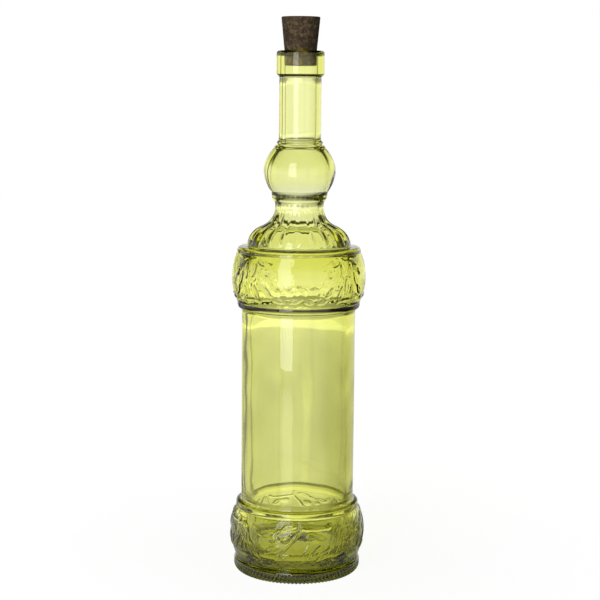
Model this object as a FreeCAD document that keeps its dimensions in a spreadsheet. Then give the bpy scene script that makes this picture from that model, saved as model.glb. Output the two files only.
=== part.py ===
"""An empty pressed-glass oil bottle with a cork stopper, as a parametric FreeCAD document.

The bottle is one solid of glass: a foot with a knurled heel, a straight body between two
bulging bands that carry raised olive sprigs, a fluted shoulder, a ball under the neck and a
collar round the mouth. A tapered cork sits in the mouth. Lengths are in millimetres, +Z is up
and the origin is the centre of the ring that the bottle stands on.
"""

import FreeCAD
import Part
import math
import os

from FreeCAD import Vector

# Every size that can be set by itself, written once. Heights stack up from the foot.
SIZES = {
    # foot, with a pushed-up base and a knurled heel
    "foot_out": 4.2,
    "foot_height": 7.8,
    "heel_round": 1.6,
    "bearing_width": 7.9,
    "punt_depth": 5.0,
    "punt_dome": 1.25,
    "foot_groove_depth": 1.2,
    "foot_groove_height": 0.8,
    "knurl_count": 96,
    "knurl_radius": 0.8,
    "knurl_out": 0.2,
    "knurl_reach": 4.0,
    # lower band, and the flange that closes it
    "lower_flange_out": 3.0,
    "lower_flange_height": 3.8,
    "lower_band_height": 29.6,
    "lower_band_bulge": 3.0,
    # body
    "body_radius": 33.2,
    "body_height": 114.5,
    # upper band, with a flange under it and a rim over it
    "upper_flange_out": 2.6,
    "upper_flange_height": 4.5,
    "upper_band_height": 28.5,
    "upper_band_bulge": 2.9,
    "upper_rim_height": 3.3,
    "band_step": 0.4,
    # fluted shoulder and waist
    "bell_in": 3.0,
    "bell_rise": 11.6,
    "bell_height": 20.4,
    "bell_swell": 1.7,
    "flute_count": 22,
    "flute_depth": 1.0,
    "flute_radius": 2.0,
    "flute_length": 25.0,
    "waist_radius": 14.3,
    "waist_height": 6.4,
    # ball between two beads
    "lower_bead_out": 1.4,
    "lower_bead_height": 5.0,
    "ball_radius": 20.7,
    "ball_low_out": 2.1,
    "ball_high_out": 2.4,
    "upper_bead_out": 1.2,
    "upper_bead_height": 2.4,
    # neck and mouth
    "neck_radius": 12.2,
    "neck_height": 37.1,
    "collar_wall": 4.3,
    "collar_height": 13.8,
    "mouth_radius": 9.5,
    "mouth_depth": 10.5,
    "throat_height": 5.0,
    "lip_round": 0.6,
    # glass thickness, and how far the inside swells into each hollow
    "wall": 4.6,
    "upper_wall": 3.3,
    "floor_thickness": 8.0,
    "floor_round": 9.0,
    "inner_ridge": 0.8,
    "ridge_height": 9.0,
    "inner_band_swell": 4.6,
    "inner_ball_swell": 6.5,
    "shoulder_drop": 2.75,
    # rounds
    "step_round": 0.9,
    "rim_round": 0.5,
    "collar_round": 1.4,
    # raised sprigs
    "sprig_count": 8,
    "relief": 0.6,
    "sprig_root": 1.8,
    "leaf_length": 15.5,
    "leaf_width": 6.0,
    "leaf_lean": 24.0,
    "leaf_turn": 9.5,
    "olive_length": 8.5,
    "olive_width": 6.0,
    "olive_drop": 6.5,
    "stem_length": 19.0,
    "stem_width": 2.4,
    "stem_lean": 12.0,
    # cork
    "cork_flare": 1.9,
    "cork_above_mouth": 19.0,
    "cork_in_mouth": 8.5,
    "cork_clearance": 0.1,
    "cork_chamfer": 0.5,
}


class Size:
    """A length worked out from the sheet's cells: its value, and the expression that says so."""

    def __init__(self, value, text):
        self.value = value
        self.text = text

    @staticmethod
    def of(other):
        """A plain number as a Size; a Size as it is."""
        return other if isinstance(other, Size) else Size(float(other), repr(float(other)))

    def joined(self, other, sign, value):
        return Size(value, f"({self.text} {sign} {Size.of(other).text})")

    def __add__(self, other):
        return self.joined(other, "+", self.value + Size.of(other).value)

    def __sub__(self, other):
        return self.joined(other, "-", self.value - Size.of(other).value)

    def __mul__(self, other):
        return self.joined(other, "*", self.value * Size.of(other).value)

    def __truediv__(self, other):
        return self.joined(other, "/", self.value / Size.of(other).value)


def make_sheet(doc):
    """The spreadsheet of driving dimensions, and each of its cells as a Size by alias."""
    sheet = doc.addObject("Spreadsheet::Sheet", "Sizes")
    for row, (alias, value) in enumerate(SIZES.items(), start=1):
        sheet.set(f"A{row}", alias)
        sheet.set(f"B{row}", str(value))
        sheet.setAlias(f"B{row}", alias)
    doc.recompute()
    return {alias: Size(float(sheet.get(alias)), f"Sizes.{alias}") for alias in SIZES}


class Radii:
    """Distances from the axis, each measured from the part that it stands out from."""

    def __init__(self, s):
        self.body = s["body_radius"]
        self.foot = self.body + s["foot_out"]
        self.bearing_inner = self.foot - s["bearing_width"]
        self.lower_flange = self.body + s["lower_flange_out"]
        self.lower_band = self.lower_flange + s["band_step"]
        self.foot_groove = self.lower_flange - s["foot_groove_depth"]
        self.upper_flange = self.body + s["upper_flange_out"]
        self.upper_band = self.upper_flange + s["band_step"]
        self.bell = self.body - s["bell_in"]
        self.waist = s["waist_radius"]
        self.bell_middle = (self.bell + self.waist) / 2
        self.core = self.waist - s["wall"] / 2
        self.lower_bead = self.waist + s["lower_bead_out"]
        self.neck = s["neck_radius"]
        self.ball = s["ball_radius"]
        self.ball_low = self.waist + s["ball_low_out"]
        self.ball_high = self.neck + s["ball_high_out"]
        self.upper_bead = self.neck + s["upper_bead_out"]
        self.mouth = s["mouth_radius"]
        self.lip = self.mouth + s["lip_round"]
        self.collar = self.mouth + s["collar_wall"]
        self.inside = self.body - s["wall"]
        self.ridge = self.inside - s["inner_ridge"]
        self.bell_inside = self.bell - s["upper_wall"]
        self.waist_bore = self.waist - s["upper_wall"]
        self.bore = self.neck - s["upper_wall"]
        self.plug = self.mouth - s["cork_clearance"]
        self.cork_top = self.plug + s["cork_flare"]


class Stations:
    """Heights above the ground where one part of the bottle ends and the next begins."""

    def __init__(self, s, r):
        self.foot_top = s["foot_height"]
        self.lower_band = self.foot_top + s["foot_groove_height"]
        self.lower_flange = self.lower_band + s["lower_band_height"]
        self.lower_ledge = self.lower_flange + s["lower_flange_height"]
        self.upper_flange = self.lower_ledge + s["body_height"]
        self.upper_band = self.upper_flange + s["upper_flange_height"]
        self.upper_rim = self.upper_band + s["upper_band_height"]
        self.shoulder = self.upper_rim + s["upper_rim_height"]
        self.waist = self.shoulder + s["bell_height"]
        self.lower_bead = self.waist + s["waist_height"]
        self.ball_low = self.lower_bead + s["lower_bead_height"]
        self.ball_centre = self.ball_low + leg(r.ball, r.ball_low)
        self.ball_high = self.ball_centre + leg(r.ball, r.ball_high)
        self.upper_bead = self.ball_high + s["upper_bead_height"]
        self.collar = self.upper_bead + s["neck_height"]
        self.mouth = self.collar + s["collar_height"]
        self.floor = s["punt_depth"] + s["floor_thickness"]


def leg(hypotenuse, other_leg):
    """The other short side of a right-angled triangle."""
    value = math.sqrt(hypotenuse.value**2 - other_leg.value**2)
    return Size(value, f"sqrt({hypotenuse.text} ^ 2 - {other_leg.text} ^ 2)")


class Outline:
    """A closed half-section, drawn corner by corner in the XZ plane beside the Z axis."""

    def __init__(self, radius, height):
        self.corners = [(Size.of(radius), Size.of(height))]
        self.bulges = []

    def to(self, radius, height, bulge=None):
        """A straight side to the next corner, or one that bulges to the right of its path."""
        self.corners.append((Size.of(radius), Size.of(height)))
        self.bulges.append(bulge)
        return self

    def sketch(self, body, name):
        """The outline as a sketch whose every corner is bound to the sheet."""
        sketch = body.newObject("Sketcher::SketchObject", name)
        sketch.AttachmentSupport = [(origin_part(body, "XZ_Plane"), "")]
        sketch.MapMode = "FlatFace"
        self.bulges.append(None)
        points = [Vector(r.value, z.value, 0) for r, z in self.corners]
        ends = [
            self.add_side(sketch, start, end, bulge)
            for start, end, bulge in zip(points, points[1:] + points[:1], self.bulges)
        ]
        for (geometry, first, _), (radius, height) in zip(ends, self.corners):
            bind_along(sketch, "DistanceX", -2, geometry, first, radius)
            bind_along(sketch, "DistanceY", -1, geometry, first, height)
        for index, (geometry, first, _) in enumerate(ends):
            before, _, last = ends[index - 1]
            sketch.addConstraint(constraint("Coincident", before, last, geometry, first))
        for (geometry, _, _), start, end, bulge in zip(
            ends, self.corners, self.corners[1:] + self.corners[:1], self.bulges
        ):
            if bulge is not None:
                bind_radius(sketch, geometry, arc_radius(start, end, bulge))
        return sketch

    @staticmethod
    def add_side(sketch, start, end, bulge):
        """One side; returns its index and which of its ends are its first and last."""
        if bulge is None:
            return sketch.addGeometry(Part.LineSegment(start, end), False), 1, 2
        along = (end - start).normalize()
        middle = (start + end) * 0.5 + Vector(along.y, -along.x, 0) * bulge.value
        index = sketch.addGeometry(Part.Arc(start, middle, end), False)
        forward = sketch.getPoint(index, 1).distanceToPoint(start) < 1e-6
        return (index, 1, 2) if forward else (index, 2, 1)


def origin_part(body, role):
    """A plane or axis of a body's own origin, by its role."""
    return next(part for part in body.Origin.OriginFeatures if part.Role == role)


def constraint(*arguments):
    """A Sketcher constraint; the module loads only once a document has a sketch."""
    import Sketcher

    return Sketcher.Constraint(*arguments)


def bind_along(sketch, kind, axis, geometry, end, size):
    """Holds one end of a side on an axis of the sketch, or at a bound distance from the origin."""
    if abs(size.value) < 1e-9:
        sketch.addConstraint(constraint("PointOnObject", geometry, end, axis))
        return
    index = sketch.addConstraint(constraint(kind, -1, 1, geometry, end, size.value))
    sketch.setExpression(f"Constraints[{index}]", size.text)


def bind_radius(sketch, geometry, radius):
    index = sketch.addConstraint(constraint("Radius", geometry, radius.value))
    sketch.setExpression(f"Constraints[{index}]", radius.text)


def arc_radius(start, end, bulge):
    """The radius of the arc over a chord from start to end that stands bulge off it."""
    across = end[0] - start[0]
    up = end[1] - start[1]
    sag = bulge if bulge.value > 0 else Size.of(0) - bulge
    chord_squared = across * across + up * up
    return (chord_squared / 4 + sag * sag) / (sag * 2)


def revolve(body, sketch, name):
    """A full turn of a sketch about the Z axis."""
    turned = body.newObject("PartDesign::Revolution", name)
    turned.Profile = sketch
    turned.ReferenceAxis = (sketch, ["V_Axis"])
    turned.Angle = 360
    sketch.Visibility = False
    return turned


def ring_names(shape, rings):
    """The names of the shape's circular edges that lie at these (radius, height) pairs."""
    names = []
    for radius, height in rings:
        found = [
            f"Edge{number}"
            for number, edge in enumerate(shape.Edges, start=1)
            if not edge.Degenerated
            and isinstance(edge.Curve, Part.Circle)
            and abs(edge.Curve.Radius - radius.value) < 1e-4
            and abs(edge.Curve.Center.z - height.value) < 1e-4
        ]
        if not found:
            raise RuntimeError(f"no edge at radius {radius.value}, height {height.value}")
        names += found
    return names


def round_rings(doc, body, name, rings, radius):
    """Rounds the circular edges at these (radius, height) pairs."""
    doc.recompute()
    base = body.Tip
    fillet = body.newObject("PartDesign::Fillet", name)
    fillet.Base = (base, ring_names(base.Shape, rings))
    fillet.setExpression("Radius", radius.text)
    return fillet


def make_blank(doc, s, r, at):
    """The turned outside of the bottle with its sprigs, still solid; the bell is separate."""
    body = doc.addObject("PartDesign::Body", "turned_blank")
    outline = Outline(0, s["punt_depth"])
    outline.to(r.bearing_inner, 0, Size.of(0) - s["punt_dome"])
    outline.to(r.foot, 0)
    outline.to(r.foot, at.foot_top)
    outline.to(r.foot_groove, at.foot_top)
    outline.to(r.foot_groove, at.lower_band)
    outline.to(r.lower_band, at.lower_band)
    outline.to(r.lower_band, at.lower_flange, s["lower_band_bulge"])
    outline.to(r.lower_flange, at.lower_flange)
    outline.to(r.lower_flange, at.lower_ledge)
    outline.to(r.body, at.lower_ledge)
    outline.to(r.body, at.upper_flange)
    outline.to(r.upper_flange, at.upper_flange)
    outline.to(r.upper_flange, at.upper_band)
    outline.to(r.upper_band, at.upper_band)
    outline.to(r.upper_band, at.upper_rim, s["upper_band_bulge"])
    outline.to(r.upper_flange, at.upper_rim)
    outline.to(r.upper_flange, at.shoulder)
    outline.to(r.core, at.shoulder)
    outline.to(r.core, at.lower_bead)
    outline.to(r.lower_bead, at.lower_bead)
    outline.to(r.ball_low, at.ball_low)
    outline.to(r.ball_high, at.ball_high, ball_sagitta(r, at))
    outline.to(r.upper_bead, at.ball_high)
    outline.to(r.upper_bead, at.upper_bead)
    outline.to(r.neck, at.upper_bead)
    outline.to(r.neck, at.collar)
    outline.to(r.collar, at.collar)
    outline.to(r.collar, at.mouth)
    outline.to(0, at.mouth)
    revolve(body, outline.sketch(body, "blank_section"), "blank")
    steps = [
        (r.body, at.lower_ledge),
        (r.body, at.upper_flange),
        (r.lower_flange, at.lower_ledge),
        (r.upper_flange, at.upper_flange),
    ]
    round_rings(doc, body, "step_rounds", steps, s["step_round"])
    round_rings(doc, body, "rim_round", [(r.upper_flange, at.shoulder)], s["rim_round"])
    ends = [(r.collar, at.collar), (r.collar, at.mouth)]
    round_rings(doc, body, "collar_rounds", ends, s["collar_round"])
    heel = [(r.foot, Size.of(0)), (r.foot, at.foot_top)]
    round_rings(doc, body, "heel_rounds", heel, s["heel_round"])
    knurl_heel(doc, body, s, r)
    bands = {
        "lower": Band(at.lower_band, at.lower_flange, r.lower_band, s["lower_band_bulge"]),
        "upper": Band(at.upper_band, at.upper_rim, r.upper_band, s["upper_band_bulge"]),
    }
    for name, band in bands.items():
        raise_sprigs(doc, body, s, name, band)
    return body


def ball_sagitta(r, at):
    """How far the ball's outline stands off the chord between its two ends."""
    across = r.ball_low - r.ball_high
    up = at.ball_high - at.ball_low
    half_chord = math.hypot(across.value, up.value) / 2
    value = r.ball.value - math.sqrt(r.ball.value**2 - half_chord**2)
    chord_squared = f"({across.text} ^ 2 + {up.text} ^ 2)"
    text = f"({r.ball.text} - sqrt({r.ball.text} ^ 2 - {chord_squared} / 4))"
    return Size(value, text)


def place(feature, base, turn, axis, angle):
    """Stands a primitive at a bound point, leaned about an axis and then turned about Z.

    The point is (out, up): its distance from the Z axis, and its height.
    """
    out, up = base
    feature.AttachmentSupport = [(origin_part(feature.getParentGeoFeatureGroup(), "XY_Plane"), "")]
    feature.MapMode = "ObjectXY"
    lean = f"rotation(vector({axis.x}; {axis.y}; {axis.z}); {angle.text})"
    turned = f"rotation(vector(0; 0; 1); {turn.text})"
    point = f"vector({out.text} * cos({turn.text} * 1deg); {out.text} * sin({turn.text} * 1deg);"
    point += f" {up.text})"
    feature.setExpression("AttachmentOffset", f"placement({point}; {turned} * {lean})")


def repeat_round(doc, body, name, originals, count):
    """The same features all the way round the Z axis, evenly."""
    pattern = body.newObject("PartDesign::PolarPattern", name)
    pattern.Originals = originals
    pattern.Axis = (origin_part(body, "Z_Axis"), [""])
    pattern.Angle = 360
    pattern.setExpression("Occurrences", count.text)
    body.Tip = pattern
    doc.recompute()
    return pattern


def knurl_heel(doc, body, s, r):
    """Short upright notches in the foot's lower edge, close together all the way round."""
    notch = body.newObject("PartDesign::SubtractiveCylinder", "heel_notch")
    notch.setExpression("Radius", s["knurl_radius"].text)
    notch.setExpression("Height", s["knurl_reach"].text)
    out = r.foot + s["knurl_out"]
    place(notch, (out, Size.of(0) - s["knurl_reach"] / 2), Size.of(0), Vector(0, 1, 0), Size.of(0))
    doc.recompute()
    repeat_round(doc, body, "knurled_heel", [notch], s["knurl_count"])


class Band:
    """A bulging band of the bottle, and how far out its surface lies at each height."""

    def __init__(self, bottom, top, end_radius, bulge):
        self.middle = (bottom + top) / 2
        self.arc = arc_radius((end_radius, bottom), (end_radius, top), bulge)
        self.crown = end_radius + bulge

    def surface(self, above_middle):
        """The surface's radius at a height above the band's middle."""
        drop = self.arc - leg(self.arc, above_middle)
        return self.crown - drop


def raise_sprigs(doc, body, s, name, band):
    """Low olive sprigs round a band: each has a stem, a leaf on both sides and one olive.

    Each is an ellipsoid rooted so deep in the band that both its ends lie inside the glass.
    """
    middle = Size.of(0)
    lower = middle - s["olive_drop"]
    straight = Size.of(0)
    left = straight - s["leaf_turn"]
    sunk = Size.of(0) - s["leaf_lean"]
    parts = [
        ("stem", middle, straight, s["stem_lean"], s["stem_length"], s["stem_width"]),
        ("right_leaf", middle, s["leaf_turn"], sunk, s["leaf_length"], s["leaf_width"]),
        ("left_leaf", middle, left, s["leaf_lean"], s["leaf_length"], s["leaf_width"]),
        ("olive", lower, s["leaf_turn"], straight, s["olive_length"], s["olive_width"]),
    ]
    for part, above_middle, turn, lean, length, width in parts:
        pad = body.newObject("PartDesign::AdditiveEllipsoid", f"{name}_{part}")
        pad.setExpression("Radius1", (length / 2).text)
        pad.setExpression("Radius2", (s["sprig_root"] + s["relief"]).text)
        pad.setExpression("Radius3", (width / 2).text)
        out = band.surface(above_middle) - s["sprig_root"]
        place(pad, (out, band.middle + above_middle), turn, Vector(1, 0, 0), lean)
        doc.recompute()
        repeat_round(doc, body, f"{name}_{part}_ring", [pad], s["sprig_count"])


def make_bell(doc, s, r, at):
    """The shoulder: an ogee of revolution with flutes cut down its slope."""
    body = doc.addObject("PartDesign::Body", "fluted_bell")
    sunk = at.shoulder - s["wall"] / 2
    outline = Outline(0, sunk)
    outline.to(r.bell, sunk)
    outline.to(r.bell, at.shoulder)
    outline.to(r.bell_middle, at.shoulder + s["bell_rise"], s["bell_swell"])
    outline.to(r.waist, at.waist, Size.of(0) - s["bell_swell"])
    outline.to(r.waist, at.lower_bead)
    outline.to(0, at.lower_bead)
    revolve(body, outline.sketch(body, "bell_section"), "bell")
    doc.recompute()
    flute = body.newObject("PartDesign::SubtractiveCylinder", "flute")
    flute.setExpression("Radius", s["flute_radius"].text)
    flute.setExpression("Height", s["flute_length"].text)
    foot = (r.bell + s["bell_swell"] + s["flute_radius"] - s["flute_depth"], at.shoulder)
    place(flute, foot, Size.of(0), Vector(0, -1, 0), slope(r.bell - r.waist, s["bell_height"]))
    doc.recompute()
    repeat_round(doc, body, "flutes", [flute], s["flute_count"])
    return body


def slope(out, up):
    """The angle, in degrees from upright, of a line that runs that far out as it rises."""
    value = math.degrees(math.atan2(out.value, up.value))
    return Size(value, f"(atan({out.text} / {up.text}) / 1deg)")


def make_cavity(doc, s, r, at):
    """The space inside the glass, run out past the mouth so that it opens the bottle."""
    body = doc.addObject("PartDesign::Body", "cavity")
    seat = at.mouth - s["mouth_depth"]
    above = at.mouth + s["wall"]
    outline = Outline(0, at.floor)
    outline.to(r.inside, at.floor)
    outline.to(r.ridge, at.lower_ledge, s["inner_band_swell"])
    outline.to(r.inside, at.lower_ledge + s["ridge_height"])
    outline.to(r.inside, at.upper_flange - s["ridge_height"])
    outline.to(r.ridge, at.upper_flange)
    outline.to(r.bell_inside, at.shoulder, s["inner_band_swell"])
    outline.to(r.waist_bore, at.waist - s["shoulder_drop"])
    outline.to(r.waist_bore, at.lower_bead)
    outline.to(r.bore, at.ball_high, s["inner_ball_swell"])
    outline.to(r.bore, seat - s["throat_height"])
    outline.to(r.mouth, seat)
    outline.to(r.mouth, at.mouth - s["lip_round"])
    outline.to(r.lip, at.mouth)
    outline.to(r.lip, above)
    outline.to(0, above)
    revolve(body, outline.sketch(body, "cavity_section"), "hollow")
    round_rings(doc, body, "floor_rounds", [(r.inside, at.floor)], s["floor_round"])
    return body


def make_bottle(doc, s, r, at):
    """The glass: the turned blank and its fluted bell, less the cavity."""
    outside = doc.addObject("Part::MultiFuse", "outside")
    outside.Shapes = [make_blank(doc, s, r, at), make_bell(doc, s, r, at)]
    doc.recompute()
    bottle = doc.addObject("Part::Cut", "glass_bottle")
    bottle.Base = outside
    bottle.Tool = make_cavity(doc, s, r, at)
    return bottle


def make_cork(doc, s, r, at):
    """The stopper: straight where the mouth holds it, and widening above the mouth."""
    body = doc.addObject("PartDesign::Body", "cork_stopper")
    top = at.mouth + s["cork_above_mouth"]
    bottom = at.mouth - s["cork_in_mouth"]
    outline = Outline(0, bottom)
    outline.to(r.plug, bottom)
    outline.to(r.plug, at.mouth)
    outline.to(r.cork_top, top)
    outline.to(0, top)
    cork = revolve(body, outline.sketch(body, "cork_section"), "cork")
    doc.recompute()
    chamfer = body.newObject("PartDesign::Chamfer", "cork_edges")
    rings = [(r.plug, bottom), (r.cork_top, top)]
    chamfer.Base = (cork, ring_names(cork.Shape, rings))
    chamfer.setExpression("Size", s["cork_chamfer"].text)
    return body


def check(doc, nodes):
    """Stops on any object that failed to recompute, and on a shape that isn't one sound solid."""
    failed = [o.Name for o in doc.Objects if {"Invalid", "Error"} & set(o.State)]
    if failed:
        raise RuntimeError(f"failed to recompute: {failed}")
    for node in nodes:
        if node.Shape.isNull() or not node.Shape.isValid() or len(node.Shape.Solids) != 1:
            raise RuntimeError(f"{node.Label} isn't one valid solid")


def main():
    doc = FreeCAD.newDocument("OilBottle")
    s = make_sheet(doc)
    r = Radii(s)
    at = Stations(s, r)
    nodes = [make_bottle(doc, s, r, at), make_cork(doc, s, r, at)]
    doc.recompute()
    check(doc, nodes)
    os.makedirs("parts", exist_ok=True)
    for node in nodes:
        node.Shape.exportStep(f"parts/{node.Label}.step")
        print(node.Label, f"{node.Shape.Volume / 1000:.2f} cm3", node.Shape.BoundBox)


main()
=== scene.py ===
"""The looks of an empty pressed-glass oil bottle and its cork stopper.

The bottle is yellow-green glass, pressed thick: a knurled foot, a straight body between two
bulging bands with raised olive sprigs, a ribbed shoulder, a ball under the neck and a collar
round the mouth. The cork is cut from pressed cork grains. Everything is in metres, in the
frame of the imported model; sizes of the maker's own are given in millimetres.
"""

import logging
import math
from collections.abc import Callable, Sequence
from dataclasses import dataclass, field
from enum import Enum
from typing import ClassVar

import bmesh
import bpy
from mathutils import Euler, Matrix, Vector, noise


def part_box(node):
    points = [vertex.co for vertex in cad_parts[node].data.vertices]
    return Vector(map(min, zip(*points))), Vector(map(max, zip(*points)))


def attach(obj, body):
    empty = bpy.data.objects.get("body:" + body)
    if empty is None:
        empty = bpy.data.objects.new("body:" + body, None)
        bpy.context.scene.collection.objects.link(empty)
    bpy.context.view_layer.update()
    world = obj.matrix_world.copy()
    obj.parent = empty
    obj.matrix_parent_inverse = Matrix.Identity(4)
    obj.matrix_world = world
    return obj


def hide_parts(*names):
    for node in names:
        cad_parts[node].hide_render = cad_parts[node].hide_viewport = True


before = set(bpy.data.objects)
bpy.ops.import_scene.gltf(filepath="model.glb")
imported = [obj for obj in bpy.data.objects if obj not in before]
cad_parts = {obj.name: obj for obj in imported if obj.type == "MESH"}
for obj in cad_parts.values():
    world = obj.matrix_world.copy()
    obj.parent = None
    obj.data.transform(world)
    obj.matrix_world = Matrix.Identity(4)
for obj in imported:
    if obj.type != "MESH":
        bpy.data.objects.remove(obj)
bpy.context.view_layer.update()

MM = 0.001
ON_THE_AXIS = 1e-6
SAME_POINT = 1e-7
SAME_RING = 5e-6
LOG = logging.getLogger("oil_bottle")

Colour = tuple[float, float, float, float]
Span = tuple[float, float]


# ---------------------------------------------------------------- colours and nodes


def linear(hex_colour: str) -> Colour:
    """Turns an sRGB hex colour into the linear one that a shader takes.

    Args:
        hex_colour: The colour as "#rrggbb".

    Returns:
        Linear red, green, blue and an alpha of one.
    """
    channels = [int(hex_colour[i : i + 2], 16) / 255 for i in (1, 3, 5)]
    red, green, blue = (
        c / 12.92 if c <= 0.04045 else ((c + 0.055) / 1.055) ** 2.4 for c in channels
    )
    return (red, green, blue, 1.0)


def add_node(
    tree: bpy.types.NodeTree,
    kind: str,
    settings: dict[str, object] | None = None,
    links: dict[str | int, bpy.types.NodeSocket] | None = None,
) -> bpy.types.Node:
    """Adds one node, with its settings and what is linked into it.

    Args:
        tree: The tree that the node joins.
        kind: The node's type, such as "ShaderNodeMix".
        settings: Attributes of the node, or values of its inputs where it has no such attribute.
        links: Output sockets of other nodes, by the name or index of the input they feed.

    Returns:
        The new node.
    """
    node = tree.nodes.new(kind)
    for name, value in (settings or {}).items():
        if isinstance(name, str) and hasattr(node, name):
            setattr(node, name, value)
        else:
            node.inputs[name].default_value = value
    for name, socket in (links or {}).items():
        tree.links.new(socket, node.inputs[name])
    return node


def product(
    tree: bpy.types.NodeTree, first: bpy.types.NodeSocket, second: bpy.types.NodeSocket
) -> bpy.types.NodeSocket:
    """Multiplies two numbers that other nodes give."""
    node = add_node(tree, "ShaderNodeMath", {"operation": "MULTIPLY"}, {0: first, 1: second})
    return node.outputs[0]


def remap(
    tree: bpy.types.NodeTree, value: bpy.types.NodeSocket, span: Span, result: Span
) -> bpy.types.NodeSocket:
    """Maps a number from one span to another and holds it at the ends.

    Args:
        tree: The tree that the node joins.
        value: The socket that gives the number.
        span: The number's own span.
        result: What the two ends of that span become.

    Returns:
        The socket that gives the mapped number.
    """
    settings = dict(zip(("From Min", "From Max", "To Min", "To Max"), span + result))
    return add_node(tree, "ShaderNodeMapRange", settings, {"Value": value}).outputs[0]


def grade(
    tree: bpy.types.NodeTree, value: bpy.types.NodeSocket, stops: Sequence[tuple[float, Colour]]
) -> bpy.types.NodeSocket:
    """Turns a number from 0 to 1 into a colour.

    Args:
        tree: The tree that the ramp joins.
        value: The socket that gives the number.
        stops: Places on the ramp in order, each with its linear colour.

    Returns:
        The socket that gives the colour.
    """
    ramp = add_node(tree, "ShaderNodeValToRGB", {}, {0: value})
    elements = ramp.color_ramp.elements
    first, *between, last = stops
    for element, (place, colour) in zip(elements, (first, last)):
        element.position, element.color = place, colour
    for place, colour in between:
        elements.new(place).color = colour
    return ramp.outputs["Color"]


def grey(level: float) -> Colour:
    """A linear grey of one level."""
    return (level, level, level, 1.0)


def new_material(name: str) -> tuple[bpy.types.Material, bpy.types.NodeTree, bpy.types.Node]:
    """Makes an empty node material.

    Args:
        name: The material's name.

    Returns:
        The material, its node tree and its output node.
    """
    material = bpy.data.materials.new(name)
    material.use_nodes = True
    material.node_tree.nodes.clear()
    output = material.node_tree.nodes.new("ShaderNodeOutputMaterial")
    return material, material.node_tree, output


# ---------------------------------------------------------------- finishes


@dataclass(frozen=True)
class PressedGlass:
    """Soda-lime glass, tinted yellow-green in the melt, pressed in a mould and fire-polished.

    The tint is in the depth of the glass, so thin stretches look pale and thick ones deep.
    The skin is smooth, with the faint ripple that a mould leaves. The notched heel has a
    darker base colour, a painted shade that makes the foot look dark.
    """

    name: str = "pressed_soda_lime_glass"
    skin: str = "#FDFFFF"
    # Painted shade: the heel's base colour, darker than the skin, which makes the foot look dark.
    heel: str = "#A4A88C"
    heel_top_mm: float = 13.5
    heel_inside_mm: float = 32.0
    tint: str = "#F6F64D"
    absorption_per_metre: float = 150.0
    refractive_index: float = 1.52
    roughness: float = 0.0
    ripple_mm: float = 9.0
    ripple_depth_mm: float = 0.02
    lamp_tint: str = "#EDF0A8"

    def build(self) -> bpy.types.Material:
        """Makes the material.

        Returns:
            The glass, clear to lamps, with its tint as absorption through its depth.
        """
        material, tree, output = new_material(self.name)
        where = add_node(tree, "ShaderNodeTexCoord")
        ripple = add_node(
            tree,
            "ShaderNodeTexNoise",
            {"Scale": 1 / (self.ripple_mm * MM), "Detail": 1.0, "Roughness": 0.4},
            {"Vector": where.outputs["Object"]},
        )
        bump = add_node(
            tree,
            "ShaderNodeBump",
            {"Strength": 1.0, "Distance": self.ripple_depth_mm * MM},
            {"Height": ripple.outputs["Fac"]},
        )
        # The skin's colour, with a painted shade at the heel.
        skin = self.paint_heel_shade(tree, where)
        glass = add_node(
            tree,
            "ShaderNodeBsdfPrincipled",
            {
                "Roughness": self.roughness,
                "IOR": self.refractive_index,
                "Transmission Weight": 1.0,
            },
            {"Normal": bump.outputs["Normal"], "Base Color": skin},
        )
        clear = add_node(tree, "ShaderNodeBsdfTransparent", {"Color": linear(self.lamp_tint)})
        ray = add_node(tree, "ShaderNodeLightPath")
        mix = add_node(
            tree,
            "ShaderNodeMixShader",
            {},
            {0: ray.outputs["Is Shadow Ray"], 1: glass.outputs[0], 2: clear.outputs[0]},
        )
        depth = add_node(
            tree,
            "ShaderNodeVolumeAbsorption",
            {"Color": linear(self.tint), "Density": self.absorption_per_metre},
        )
        tree.links.new(mix.outputs[0], output.inputs["Surface"])
        tree.links.new(depth.outputs[0], output.inputs["Volume"])
        return material

    def paint_heel_shade(self, tree: bpy.types.NodeTree, where: bpy.types.Node) -> bpy.types.NodeSocket:
        """Paints shade into what passes the notched heel, as a darker base colour low and outside.

        Args:
            tree: The material's nodes.
            where: The node that gives object coordinates.

        Returns:
            The skin's colour: clear, or the painted shade of the notched heel.
        """
        axes = add_node(tree, "ShaderNodeSeparateXYZ", {}, {0: where.outputs["Object"]})
        flat = add_node(
            tree,
            "ShaderNodeVectorMath",
            {"operation": "MULTIPLY", 1: (1.0, 1.0, 0.0)},
            {0: where.outputs["Object"]},
        )
        out = add_node(tree, "ShaderNodeVectorMath", {"operation": "LENGTH"}, {0: flat.outputs[0]})
        height, radius = axes.outputs["Z"], out.outputs["Value"]
        # Where the painted shade falls: low on the foot and out past the punt.
        low = remap(tree, height, self.edge_of(self.heel_top_mm, 1.0), (1.0, 0.0))
        wide = remap(tree, radius, self.edge_of(self.heel_inside_mm, 0.5), (0.0, 1.0))
        stops = ((0.0, linear(self.skin)), (1.0, linear(self.heel)))
        return grade(tree, product(tree, low, wide), stops)

    @staticmethod
    def edge_of(middle_mm: float, soft_mm: float) -> Span:
        """The span, in metres, of a soft edge round a size in mm."""
        return ((middle_mm - soft_mm) * MM, (middle_mm + soft_mm) * MM)


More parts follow.
